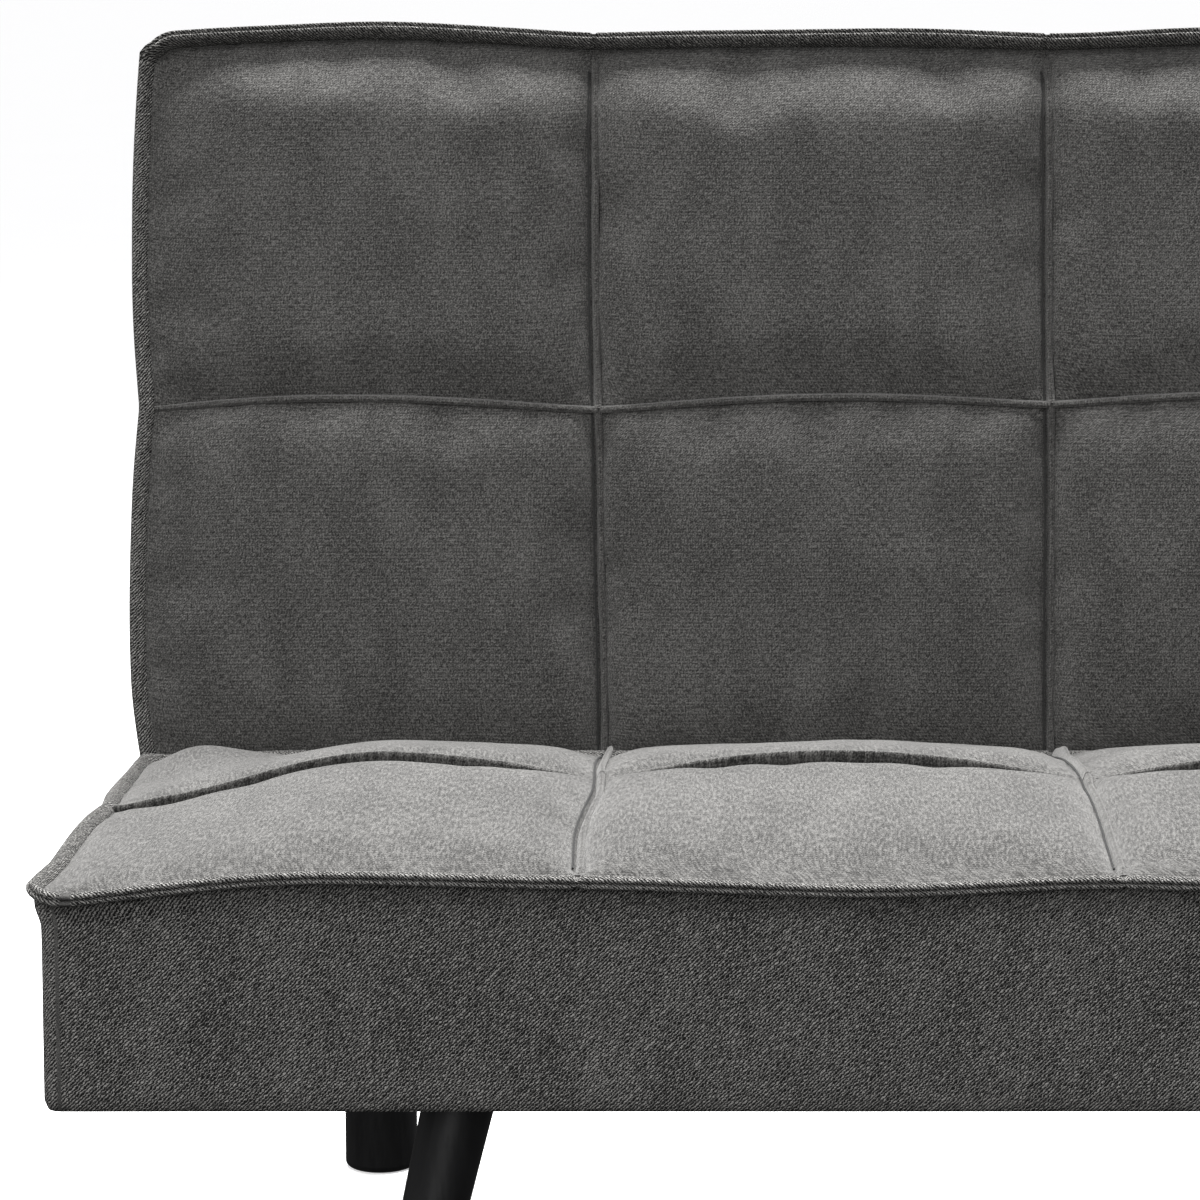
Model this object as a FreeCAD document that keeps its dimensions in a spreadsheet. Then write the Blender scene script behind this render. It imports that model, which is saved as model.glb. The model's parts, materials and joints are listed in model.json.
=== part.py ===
"""Click-clack futon sofa bed: a padded seat on four legs and a padded back that folds down flat.

Frame: X across the width, -Y the front, +Z up, origin on the floor under the middle of the sofa.
The back is built lying flat behind the seat, as in the bed position, and each of its pieces then gets
the placement that folds it up about the hinge pivots to the sofa position.
"""

import FreeCAD, Part
import math
import os
import Sketcher

Vector = FreeCAD.Vector

SIZES = {
    # the whole sofa
    "overall_width": 1800, "overall_depth": 762, "lean_angle": 12,
    # the two padded slabs, flange tip to flange tip, and the gap between them when flat
    "seat_length": 476, "back_length": 560, "flat_gap": 29.2,
    "box_bottom": 245, "box_height": 125, "flange_width": 9, "flange_thickness": 6,
    "cover_thickness": 3, "crown_height": 28, "crown_round": 22, "strip_height": 6,
    "bottom_strip": 84, "felt_thickness": 3, "dust_cover_thickness": 1,
    # timber frames
    "frame_bottom": 248, "rail_height": 97, "rail_thickness": 27, "seat_hinge_rail_thickness": 32,
    "cross_rail_width": 24, "cross_rail_height": 70, "cross_rail_pitch": 450,
    "hinge_clear_depth": 40, "notch_clearance": 2, "edge_board_thickness": 12,
    # zigzag springs
    "spring_pitch": 180, "spring_half_width": 22, "spring_wire": 3.6, "spring_overlap": 5,
    "clip_height": 4.4, "clip_length": 14, "clip_width": 18,
    # hinges
    "pivot_drop": 60, "pivot_inset": 43.4, "hinge_plane": 795, "base_plate_thickness": 5,
    "back_plate_thickness": 4, "washer_thickness": 1, "pivot_pin_radius": 6, "running_clearance": 0.05,
    "pivot_boss_radius": 19, "cam_radius": 33, "cam_offset": 5, "cam_angle": -31.2,
    "bar_bottom": 190, "bar_height": 38, "bar_start": 215, "tab_start": 250, "tab_length": 165,
    "tab_height": 70, "pawl_pin_radius": 4, "pawl_pin_forward": 26, "pawl_pin_drop": 44,
    "pawl_nose_back": 4, "pawl_nose_drop": 33.6, "pawl_nose_radius": 3, "pawl_hub_radius": 8,
    "pin_head": 3, "pin_clip": 2, "pin_end_play": 0.4, "pawl_end_play": 0.2, "pawl_tab_width": 36,
    "pawl_tab_drop": 30, "pawl_pin_head_radius": 6, "tab_screw_inset": 20, "tab_screw_low": 18,
    "tab_screw_high": 62, "arm_screw_start": 88, "arm_screw_pitch": 45,
    "back_arm_length": 195, "back_arm_height": 36, "slot_half_width": 11, "foot_plate_thickness": 4,
    "cross_tube_radius": 12, "cross_tube_bore": 10, "cross_tube_forward": 62,
    # legs
    "front_leg_inset": 234, "front_leg_setback": 80, "front_leg_top_radius": 21,
    "front_leg_foot_radius": 14, "front_leg_splay": 13, "front_leg_rake": 7, "leg_plate_size": 76,
    "leg_plate_thickness": 3, "leg_screw_offset": 30, "leg_block_length": 180, "leg_block_width": 100,
    "leg_block_height": 40, "glide_thickness": 3, "hanger_bolt_radius": 4, "hanger_bolt_reach": 25,
    "rear_leg_inset": 141, "rear_leg_radius": 26, "rear_leg_setback": 4, "rear_leg_round": 5,
    "centre_leg_radius": 20, "centre_leg_setback": 238,
    # fasteners
    "screw_head_radius": 4.5, "screw_head_height": 2.5, "screw_radius": 2, "screw_length": 20,
    "hole_clearance": 0.3,
    "bolt_radius": 4, "bolt_length": 30, "bolt_head_radius": 7.5, "bolt_head_height": 5,
}

doc = FreeCAD.newDocument("FutonSofaBed")
sheet = doc.addObject("Spreadsheet::Sheet", "Sizes")
for row, (alias, size) in enumerate(SIZES.items(), start=1):
    sheet.set(f"A{row}", alias)
    sheet.set(f"B{row}", str(size))
    sheet.setAlias(f"B{row}", alias)
doc.recompute()


def size(alias):
    """One cell's number."""
    return float(sheet.get(alias))


def cells(text):
    """An expression in which each size's bare name stands for its cell."""
    words, word = [], ""
    for letter in text + " ":
        if letter.isalnum() or letter == "_":
            word += letter
        else:
            words.append(f"Sizes.{word}" if word in SIZES else word)
            words.append(letter)
            word = ""
    return "".join(words).strip()


# Places that many pieces share, as expressions
FRONT = "(-overall_depth / 2)"
SIDE = "(overall_width / 2)"
INSET = "(flange_width + cover_thickness)"
FRAME_SIDE = f"({SIDE} - {INSET})"
SEAT_BACK = f"({FRONT} + seat_length)"
BACK_START = f"({SEAT_BACK} + flat_gap)"
BACK_END = f"({BACK_START} + back_length)"
FLANGE_PLANE = "(box_bottom + box_height)"
PIVOT_Y = f"({BACK_START} + pivot_inset)"
PIVOT_Z = f"({FLANGE_PLANE} - pivot_drop)"
FRAME_TOP = "(frame_bottom + rail_height)"
FELT_BOTTOM = f"({FRAME_TOP} + clip_height)"
FOAM_BOTTOM = f"({FELT_BOTTOM} + felt_thickness)"
BACK_RAIL_Y = f"({PIVOT_Y} + hinge_clear_depth)"  # the back's bottom rail clears the hinge cam
BACK_FRAME_END = f"({BACK_END} - {INSET})"
FOLD_UP = (
    "placement(vector(0; 0; 0); rotation(vector(1; 0; 0); 90 - lean_angle);"
    f" vector(0; {PIVOT_Y}; {PIVOT_Z}))"
)

nodes = []


def named(shape, label):
    shape.Label = label
    return shape


def bind(shape, **expressions):
    """Binds properties to the sheet; x, y and z are the placement's base."""
    places = {"x": "Placement.Base.x", "y": "Placement.Base.y", "z": "Placement.Base.z"}
    for key, text in expressions.items():
        shape.setExpression(places.get(key, key), cells(text))
    return shape


def keep(shape, label, folds=False):
    """Makes a shape one of the sofa's nodes, and folds it up if it belongs to the back."""
    if folds:
        shape.setExpression("Placement", cells(FOLD_UP))
    nodes.append(named(shape, label))
    return shape


def box(x, y, z, length, width, height):
    made = doc.addObject("Part::Box", "Box")
    return bind(made, x=x, y=y, z=z, Length=length, Width=width, Height=height)


def cylinder(x, y, z, radius, height, along="z"):
    """A cylinder that runs from x, y, z towards +X, +Y or +Z."""
    made = doc.addObject("Part::Cylinder", "Cylinder")
    turn = {
        "x": FreeCAD.Rotation(Vector(0, 1, 0), 90),
        "y": FreeCAD.Rotation(Vector(1, 0, 0), -90),
        "z": FreeCAD.Rotation(),
    }[along]
    made.Placement = FreeCAD.Placement(Vector(), turn)
    return bind(made, x=x, y=y, z=z, Radius=radius, Height=height)


def fuse(*shapes):
    made = doc.addObject("Part::MultiFuse", "Fuse")
    made.Shapes = list(shapes)
    made.Refine = True
    return made


def cut(base, *tools):
    made = doc.addObject("Part::Cut", "Cut")
    made.Base = base
    made.Tool = tools[0] if len(tools) == 1 else fuse(*tools)
    return made


def group(*shapes):
    made = doc.addObject("Part::Compound", "Group")
    made.Links = list(shapes)
    return made


def rounded(base, radius, chosen):
    """Rounds the edges for which chosen(edge) is true."""
    doc.recompute()
    made = doc.addObject("Part::Fillet", "Round")
    made.Base = base
    r = size(radius)
    made.Edges = [(i, r, r) for i, e in enumerate(base.Shape.Edges, start=1) if chosen(e)]
    return made


def is_at_height(edge, height):
    return all(abs(v.Z - height) < 0.01 for v in edge.Vertexes)


def on_side(side, inner, thickness):
    """The lower x of something that starts at inner and is that thick, right or mirrored left."""
    return inner if side == "right" else f"-({inner}) - ({thickness})"


def number_of(text):
    """The value of an expression of the sheet's sizes, worked out by a scratch object."""
    probe = doc.addObject("App::FeaturePython", "Probe")
    probe.addProperty("App::PropertyFloat", "Answer")
    probe.setExpression("Answer", cells(text))
    probe.recompute()
    answer = probe.Answer
    doc.removeObject(probe.Name)
    return answer


def origin_part(body, role):
    return [part for part in body.Origin.OriginFeatures if part.Role == role][0]


def rectangle(body, plane, width, height):
    """A rectangle sketched on one of the body's planes, with a corner at the plane's origin."""
    sketch = body.newObject("Sketcher::SketchObject", "Rectangle")
    sketch.AttachmentSupport = [(origin_part(body, plane), "")]
    sketch.MapMode = "FlatFace"
    corners = [Vector(0, 0), Vector(10, 0), Vector(10, 20), Vector(0, 20)]
    for i, corner in enumerate(corners):
        sketch.addGeometry(Part.LineSegment(corner, corners[(i + 1) % 4]))
        sketch.addConstraint(Sketcher.Constraint("Horizontal" if i % 2 == 0 else "Vertical", i))
    for i in range(4):
        sketch.addConstraint(Sketcher.Constraint("Coincident", i, 2, (i + 1) % 4, 1))
    sketch.addConstraint(Sketcher.Constraint("Coincident", 0, 1, -1, 1))
    wide = sketch.addConstraint(Sketcher.Constraint("DistanceX", 0, 1, 0, 2, 10))
    high = sketch.addConstraint(Sketcher.Constraint("DistanceY", 1, 1, 1, 2, 20))
    sketch.setExpression(f"Constraints[{wide}]", cells(width))
    sketch.setExpression(f"Constraints[{high}]", cells(height))
    return sketch


def rail(label, x, y, z, length, width, height, folds=False):
    """A straight board: a rectangle in the YZ plane, y by z, padded along X."""
    body = doc.addObject("PartDesign::Body", "Body")
    sketch = rectangle(body, "YZ_Plane", width, height)
    for axis, text in (("x", y), ("y", z), ("z", x)):
        sketch.setExpression(f"AttachmentOffset.Base.{axis}", cells(text))
    pad = body.newObject("PartDesign::Pad", "Pad")
    pad.Profile = sketch
    pad.setExpression("Length", cells(length))
    return keep(body, label, folds)


# ---------------------------------------------------------------- timber frames and upholstery
SPRINGS = range(-4, 5)
CROSS_RAILS = (-1, 0, 1)


def zigzag(label, near, far, folds):
    """Sinuous wire springs that run from rail to rail, each a row of straight runs and half turns."""
    turns = 13
    wire, reach = size("spring_wire") / 2, size("spring_half_width")
    start = number_of(f"{near} - spring_overlap")
    step = number_of(f"({far} + spring_overlap) - ({near} - spring_overlap)") / turns
    bend = step / 2
    z = number_of(f"{FRAME_TOP} + clip_height / 2")
    springs = []
    for number in SPRINGS:
        x, y, side = number * size("spring_pitch"), start, 1
        inner = reach - bend
        edges = [Part.LineSegment(Vector(x, y, z), Vector(x + inner, y, z)).toShape()]
        for turn in range(turns):
            tip = x + side * inner
            middle = Vector(tip + side * bend, y + bend, z)
            edges.append(Part.Arc(Vector(tip, y, z), middle, Vector(tip, y + step, z)).toShape())
            y, side = y + step, -side
            run_end = x if turn == turns - 1 else x + side * inner
            edges.append(Part.LineSegment(Vector(tip, y, z), Vector(run_end, y, z)).toShape())
        section = Part.Wire([Part.makeCircle(wire, Vector(x, start, z), Vector(1, 0, 0))])
        springs.append(Part.Wire(edges).makePipeShell([section], True, True))
    made = doc.addObject("Part::Feature", "Springs")
    made.Shape = Part.makeCompound(springs)
    return made


def suspension(prefix, start, end, folds, near, far):
    """Zigzag springs, the clips that hold them to the end rails and the felt laid over them."""
    springs = zigzag(f"{prefix}_springs", near, far, folds)
    clips = [
        box(f"{number} * spring_pitch - clip_width / 2", y, FRAME_TOP, "clip_width", "clip_length",
            "clip_height")
        for number in SPRINGS for y in (f"{near} - clip_length - 1", f"{far} + 1")
    ]
    keep(cut(group(*clips), springs), f"{prefix}_spring_clips", folds)
    keep(group(springs), f"{prefix}_springs", folds)
    rail(f"{prefix}_felt", f"-{FRAME_SIDE}", f"{start} + {INSET}", FELT_BOTTOM, f"2 * {FRAME_SIDE}",
         f"{end} - {start} - 2 * {INSET}", "felt_thickness", folds)


def cushion(prefix, start, end, crown_start, folds):
    """Foam block, its cover and the flange all round its edge. The low strip runs to crown_start."""

    def padding(bottom, inset, skin):
        """The strip and the crowned block, inset from the frame's edge, with a skin on top."""
        left, length = f"-{FRAME_SIDE} + {inset}", f"2 * {FRAME_SIDE} - 2 * {inset}"
        near, far = f"({start} + {INSET} + {inset})", f"({end} - {INSET} - {inset})"
        strip_height = f"{FLANGE_PLANE} + strip_height + {skin} - {bottom}"
        crown_top = f"{FLANGE_PLANE} + crown_height + {skin}"
        strip = box(left, near, bottom, length, f"{far} - {near}", strip_height)
        crown_near = f"({crown_start} + {inset})"
        crown = box(left, crown_near, bottom, length, f"{far} - {crown_near}",
                    f"{crown_top} - {bottom}")
        level = number_of(crown_top)
        return fuse(strip, rounded(crown, "crown_round", lambda e: is_at_height(e, level)))

    foam = padding(FOAM_BOTTOM, "cover_thickness", "0")
    keep(cut(padding(FLANGE_PLANE, "0", "cover_thickness"), foam), f"{prefix}_top_cover", folds)
    keep(group(foam), f"{prefix}_foam", folds)  # a group, so that the cut above stays where it is

    flange_z = f"{FLANGE_PLANE} - flange_thickness"
    outer = box(f"-{SIDE}", start, flange_z, "overall_width", f"{end} - {start}", "flange_thickness")
    inner = box(f"-{FRAME_SIDE}", f"{start} + {INSET}", flange_z, f"2 * {FRAME_SIDE}",
                f"{end} - {start} - 2 * {INSET}", "flange_thickness")
    keep(cut(outer, inner), f"{prefix}_flange", folds)


def side_cover(label, start, end, folds, slots=()):
    """The fabric wrapped round the four sides of a box, with slots where the hinges pass."""
    height = "box_height - flange_thickness"
    outer = box(f"-{SIDE} + flange_width", f"{start} + flange_width", "box_bottom",
                "overall_width - 2 * flange_width", f"{end} - {start} - 2 * flange_width", height)
    inner = box(f"-{FRAME_SIDE}", f"{start} + {INSET}", "box_bottom", f"2 * {FRAME_SIDE}",
                f"{end} - {start} - 2 * {INSET}", height)
    keep(cut(outer, inner, *slots), label, folds)


def cross_rails(label, near, span, folds):
    boards = [
        box(f"{i} * cross_rail_pitch - cross_rail_width / 2", near, "frame_bottom",
            "cross_rail_width", span, "cross_rail_height")
        for i in CROSS_RAILS
    ]
    keep(group(*boards), label, folds)


def seat():
    near = f"({FRONT} + {INSET} + rail_thickness)"
    far = f"({SEAT_BACK} - {INSET} - rail_thickness)"
    span = f"{far} - {near}"
    width = f"2 * {FRAME_SIDE}"
    for label, y in (("seat_front_rail", f"{FRONT} + {INSET}"), ("seat_rear_rail", far)):
        rail(label, f"-{FRAME_SIDE}", y, "frame_bottom", width, "rail_thickness", "rail_height")
    for side in ("left", "right"):
        edge = on_side(side, f"{FRAME_SIDE} - rail_thickness", "rail_thickness")
        rail(f"seat_side_rail_{side}", edge, near, "frame_bottom", "rail_thickness", span,
             "rail_height")
        thick = "seat_hinge_rail_thickness"
        rail(f"seat_hinge_rail_{side}", on_side(side, "hinge_plane", thick), near, "frame_bottom",
             thick, span, "rail_height")
    cross_rails("seat_cross_rails", near, span, False)
    suspension("seat", FRONT, SEAT_BACK, False, near, far)
    cushion("seat", FRONT, SEAT_BACK, f"({FRONT} + {INSET})", False)
    side_cover("seat_side_cover", FRONT, SEAT_BACK, False)

    cloth = box(f"-{FRAME_SIDE}", f"{FRONT} + {INSET}", "frame_bottom - dust_cover_thickness", width,
                f"seat_length - 2 * {INSET}", "dust_cover_thickness")
    slit_width = "base_plate_thickness + notch_clearance"
    slits = [
        box(on_side(side, "hinge_plane - base_plate_thickness - notch_clearance", slit_width),
            f"{FRONT} + tab_start - notch_clearance", "box_bottom", slit_width,
            "tab_length + 2 * notch_clearance", "rail_height")
        for side in ("left", "right")
    ]
    keep(cut(cloth, *slits), "seat_dust_cover")


def back():
    inner = f"({BACK_RAIL_Y} + rail_thickness)"
    top = f"({BACK_END} - {INSET} - rail_thickness)"
    span = f"{top} - {inner}"
    between = f"({FRAME_SIDE} - rail_thickness)"
    full = f"back_length - 2 * {INSET}"

    arm_gap = "back_plate_thickness + washer_thickness + notch_clearance"
    board = box(f"-{between}", BACK_RAIL_Y, "frame_bottom", f"2 * {between}", "rail_thickness",
                "rail_height")
    notches = [
        box(on_side(side, "hinge_plane", arm_gap), f"{BACK_RAIL_Y} - notch_clearance",
            f"{PIVOT_Z} - back_arm_height / 2 - notch_clearance", arm_gap,
            "rail_thickness + 2 * notch_clearance", "rail_height")
        for side in ("left", "right")
    ]
    keep(cut(board, *notches), "back_bottom_rail", True)
    rail("back_top_rail", f"-{between}", top, "frame_bottom", f"2 * {between}", "rail_thickness",
         "rail_height", True)
    arm_face = "hinge_plane + washer_thickness + back_plate_thickness"
    for side in ("left", "right"):
        rail(f"back_side_rail_{side}", on_side(side, between, "rail_thickness"),
             f"{BACK_START} + {INSET}", "frame_bottom", "rail_thickness", full, "rail_height", True)
        rail(f"back_hinge_rail_{side}", on_side(side, arm_face, "rail_thickness"), inner,
             "frame_bottom", "rail_thickness", span, "rail_height", True)
    cross_rails("back_cross_rails", inner, span, True)
    suspension("back", BACK_START, BACK_END, True, inner, top)
    cushion("back", BACK_START, BACK_END, f"({BACK_START} + bottom_strip)", True)

    def slots(depth):
        """Cuts through the cloth, left and right, that the base plates and cams pass through."""
        return [
            box(on_side(side, "hinge_plane - slot_half_width", "2 * slot_half_width"),
                f"{BACK_START} - notch_clearance", "box_bottom - notch_clearance",
                "2 * slot_half_width", f"{depth} + notch_clearance",
                f"{FELT_BOTTOM} - box_bottom + notch_clearance")
            for side in ("left", "right")
        ]

    edge_y = f"({BACK_START} + {INSET})"
    slot_side = "(hinge_plane - slot_half_width)"
    board = box(f"-{between}", edge_y, "frame_bottom", f"2 * {between}", "edge_board_thickness",
                "rail_height")
    keep(cut(board, *slots(f"{INSET} + edge_board_thickness + notch_clearance")), "back_edge_boards",
         True)
    block_y = f"({edge_y} + edge_board_thickness)"
    block_x = [f"{i} * cross_rail_pitch - cross_rail_width / 2" for i in CROSS_RAILS]
    block_x += [on_side(side, f"{slot_side} - cross_rail_width", "cross_rail_width")
                for side in ("left", "right")]
    blocks = [
        box(x, block_y, "frame_bottom", "cross_rail_width", f"{BACK_RAIL_Y} - {block_y}",
            "cross_rail_height")
        for x in block_x
    ]
    keep(group(*blocks), "back_edge_blocks", True)
    side_cover("back_side_cover", BACK_START, BACK_END, True, slots(f"{INSET} + notch_clearance"))
    cloth = box(f"-{FRAME_SIDE}", f"{BACK_START} + {INSET}", "box_bottom", f"2 * {FRAME_SIDE}", full,
                "cover_thickness")
    keep(cut(cloth, *slots(f"{BACK_RAIL_Y} - {BACK_START}")), "back_rear_cover", True)


# ---------------------------------------------------------------- hinges
BASE = "base_plate_thickness"
BAR_TOP = "(bar_bottom + bar_height)"
CAM_PLANE = "(hinge_plane + washer_thickness)"
ARM = "back_plate_thickness"
PAWL_Y = f"({PIVOT_Y} - pawl_pin_forward)"
PAWL_Z = f"({PIVOT_Z} - pawl_pin_drop)"
TAB_SCREWS = [
    (f"{FRONT} + tab_start + {along}", f"frame_bottom + {up}")
    for along in ("tab_screw_inset", "tab_length - tab_screw_inset")
    for up in ("tab_screw_low", "tab_screw_high")
]
ARM_SCREWS = [(f"{PIVOT_Y} + arm_screw_start + {i} * arm_screw_pitch", PIVOT_Z) for i in range(3)]


def screw(x, y, z, along, flip=False):
    """A pan-head screw with its head's flat at x, y, z and its shank pointing along the axis."""
    head = {"x": x, "y": y, "z": z}
    head[along] += " - screw_head_height" if not flip else ""
    shank = {"x": x, "y": y, "z": z}
    shank[along] += " - screw_length" if flip else ""
    return fuse(
        cylinder(*head.values(), "screw_head_radius", "screw_head_height", along),
        cylinder(*shank.values(), "screw_radius", "screw_length", along),
    )


def side_screws(side, face, places):
    """Screws driven outward from a plate's inner face."""
    x, flip = (face, False) if side == "right" else (f"-({face})", True)
    return group(*[screw(x, y, z, "x", flip) for y, z in places])


def holes_along_x(x, thickness, places, radius):
    """Cylinders that cut holes right through a plate that starts at x."""
    return [cylinder(f"{x} - 1", y, z, radius, f"{thickness} + 2", "x") for y, z in places]


def headed_pin(side, y, z, radius, head_radius, play):
    """A pin that joins base plate and back plate: an inner head, a shank and an outer clip."""
    reach = f"({BASE} + washer_thickness + {ARM} + {play})"
    spans = [
        (f"hinge_plane - {BASE} - pin_head", "pin_head", head_radius),
        (f"hinge_plane - {BASE}", reach, radius),
        (f"hinge_plane - {BASE} + {reach}", "pin_clip", head_radius),
    ]
    return fuse(*[
        cylinder(on_side(side, inner, length), y, z, around, length, "x")
        for inner, length, around in spans
    ])


def base_plate(side):
    """A long bar with a foot for the rear leg, a tab for the seat and a tab for the pivot and pawl."""
    x = on_side(side, f"hinge_plane - {BASE}", BASE)
    rear = f"-({FRONT}) - rear_leg_setback"
    leg_side = f"({SIDE} - rear_leg_inset - rear_leg_radius)"
    foot_width = f"hinge_plane - {leg_side}"
    foot_y = f"{rear} - 2 * rear_leg_radius"
    solid = fuse(
        box(x, f"{FRONT} + bar_start", "bar_bottom", BASE, f"{rear} - ({FRONT} + bar_start)",
            "bar_height"),
        box(x, f"{FRONT} + tab_start", BAR_TOP, BASE, "tab_length",
            f"frame_bottom + tab_screw_high + tab_screw_low - {BAR_TOP}"),
        box(x, f"{PIVOT_Y} - pivot_boss_radius", BAR_TOP, BASE, "2 * pivot_boss_radius",
            f"{PIVOT_Z} - {BAR_TOP}"),
        box(x, f"{PIVOT_Y} - pawl_tab_width", BAR_TOP, BASE, "pawl_tab_width",
            f"{PIVOT_Z} - {BAR_TOP} - pawl_tab_drop"),
        cylinder(x, PIVOT_Y, PIVOT_Z, "pivot_boss_radius", BASE, "x"),
        box(on_side(side, leg_side, foot_width), foot_y, "bar_bottom - foot_plate_thickness",
            foot_width, "2 * rear_leg_radius", "foot_plate_thickness"),
    )
    bolt_x, bolt_y = rear_leg_axis(side)
    keep(
        cut(
            solid,
            *holes_along_x(x, BASE, [(PIVOT_Y, PIVOT_Z)], "pivot_pin_radius"),
            *holes_along_x(x, BASE, [(PAWL_Y, PAWL_Z)], "pawl_pin_radius"),
            *holes_along_x(x, BASE, TAB_SCREWS, "screw_radius + hole_clearance"),
            cylinder(bolt_x, bolt_y, "bar_bottom - 2 * foot_plate_thickness",
                     "bolt_radius + hole_clearance", "2 * foot_plate_thickness"),
        ),
        f"hinge_base_plate_{side}",
    )


def back_plate(side):
    """An arm screwed to the back's hinge rail, with the eccentric round cam about its pivot hole."""
    x = on_side(side, CAM_PLANE, ARM)
    solid = fuse(
        cylinder(x, f"{PIVOT_Y} + cam_offset * cos(cam_angle)",
                 f"{PIVOT_Z} + cam_offset * sin(cam_angle)", "cam_radius", ARM, "x"),
        box(x, PIVOT_Y, f"{PIVOT_Z} - back_arm_height / 2", ARM, "back_arm_length",
            "back_arm_height"),
    )
    pivot = holes_along_x(x, ARM, [(PIVOT_Y, PIVOT_Z)], "pivot_pin_radius + running_clearance")
    drilled = holes_along_x(x, ARM, ARM_SCREWS, "screw_radius + hole_clearance")
    keep(cut(solid, *pivot, *drilled), f"hinge_back_plate_{side}", True)
    keep(side_screws(side, CAM_PLANE, ARM_SCREWS), f"hinge_back_screws_{side}", True)


def pawl(side):
    """A tapered link from its hub to the round nose that rides on the cam."""
    hub = Vector(0, number_of(PAWL_Y), number_of(PAWL_Z))
    nose = Vector(0, number_of(f"{PIVOT_Y} + pawl_nose_back"), number_of(f"{PIVOT_Z} - pawl_nose_drop"))
    big, small = size("pawl_hub_radius"), size("pawl_nose_radius")
    run = nose - hub
    along = math.atan2(run.z, run.y)
    opening = math.acos((big - small) / run.Length)

    def rim(centre, radius, angle):
        return centre + Vector(0, radius * math.cos(angle), radius * math.sin(angle))

    low, high = along - opening, along + opening
    outline = Part.Wire([
        Part.LineSegment(rim(hub, big, low), rim(nose, small, low)).toShape(),
        Part.Arc(rim(nose, small, low), rim(nose, small, along), rim(nose, small, high)).toShape(),
        Part.LineSegment(rim(nose, small, high), rim(hub, big, high)).toShape(),
        Part.Arc(rim(hub, big, high), rim(hub, big, along + math.pi), rim(hub, big, low)).toShape(),
    ])
    thick = number_of(f"{ARM} - 2 * pawl_end_play")
    solid = Part.Face(outline).extrude(Vector(thick, 0, 0))
    bore = Part.makeCylinder(size("pawl_pin_radius") + size("running_clearance"), thick, hub,
                             Vector(1, 0, 0))
    link = doc.addObject("Part::Feature", "Pawl")
    link.Shape = solid.cut(bore)
    x = number_of(on_side(side, f"{CAM_PLANE} + pawl_end_play", f"{ARM} - 2 * pawl_end_play"))
    link.Placement = FreeCAD.Placement(Vector(x, 0, 0), FreeCAD.Rotation())
    keep(link, f"hinge_pawl_{side}")


def hinges():
    washers, pawl_pins = [], []
    for side in ("left", "right"):
        base_plate(side)
        back_plate(side)
        pawl(side)
        keep(headed_pin(side, PIVOT_Y, PIVOT_Z, "pivot_pin_radius", "1.5 * pivot_pin_radius",
                        "pin_end_play"), f"hinge_pivot_pin_{side}")
        pawl_pins.append(headed_pin(side, PAWL_Y, PAWL_Z, "pawl_pin_radius", "pawl_pin_head_radius",
                                    "pawl_end_play"))
        keep(side_screws(side, f"hinge_plane - {BASE}", TAB_SCREWS), f"hinge_base_screws_{side}")
        x = on_side(side, "hinge_plane", "washer_thickness")
        disc = cylinder(x, PIVOT_Y, PIVOT_Z, "2 * pivot_pin_radius", "washer_thickness", "x")
        bore = holes_along_x(x, "washer_thickness", [(PIVOT_Y, PIVOT_Z)], "pivot_pin_radius")
        washers.append(cut(disc, *bore))
    keep(group(*washers), "hinge_washers")
    keep(group(*pawl_pins), "hinge_pawl_pins")


def cross_tube():
    """The steel tube that ties the two base plates together behind the seat."""
    inner = f"(hinge_plane - {BASE})"
    y, z = f"-({FRONT}) - cross_tube_forward", "bar_bottom + bar_height / 2"
    solid = cylinder(f"-{inner}", y, z, "cross_tube_radius", f"2 * {inner}", "x")
    bore = cylinder(f"-{inner}", y, z, "cross_tube_bore", f"2 * {inner}", "x")
    keep(cut(solid, bore), "base_cross_tube")


# ---------------------------------------------------------------- legs and their fasteners
PLATE_TOP = "(frame_bottom - dust_cover_thickness)"
LEG_TOP = f"({PLATE_TOP} - leg_plate_thickness)"


def leg_plate(x, y):
    return box(f"{x} - leg_plate_size / 2", f"{y} - leg_plate_size / 2", LEG_TOP, "leg_plate_size",
               "leg_plate_size", "leg_plate_thickness")


def drilled(plate, spots, radius):
    return cut(plate, *[cylinder(x, y, LEG_TOP, radius, "leg_plate_thickness") for x, y in spots])


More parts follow.
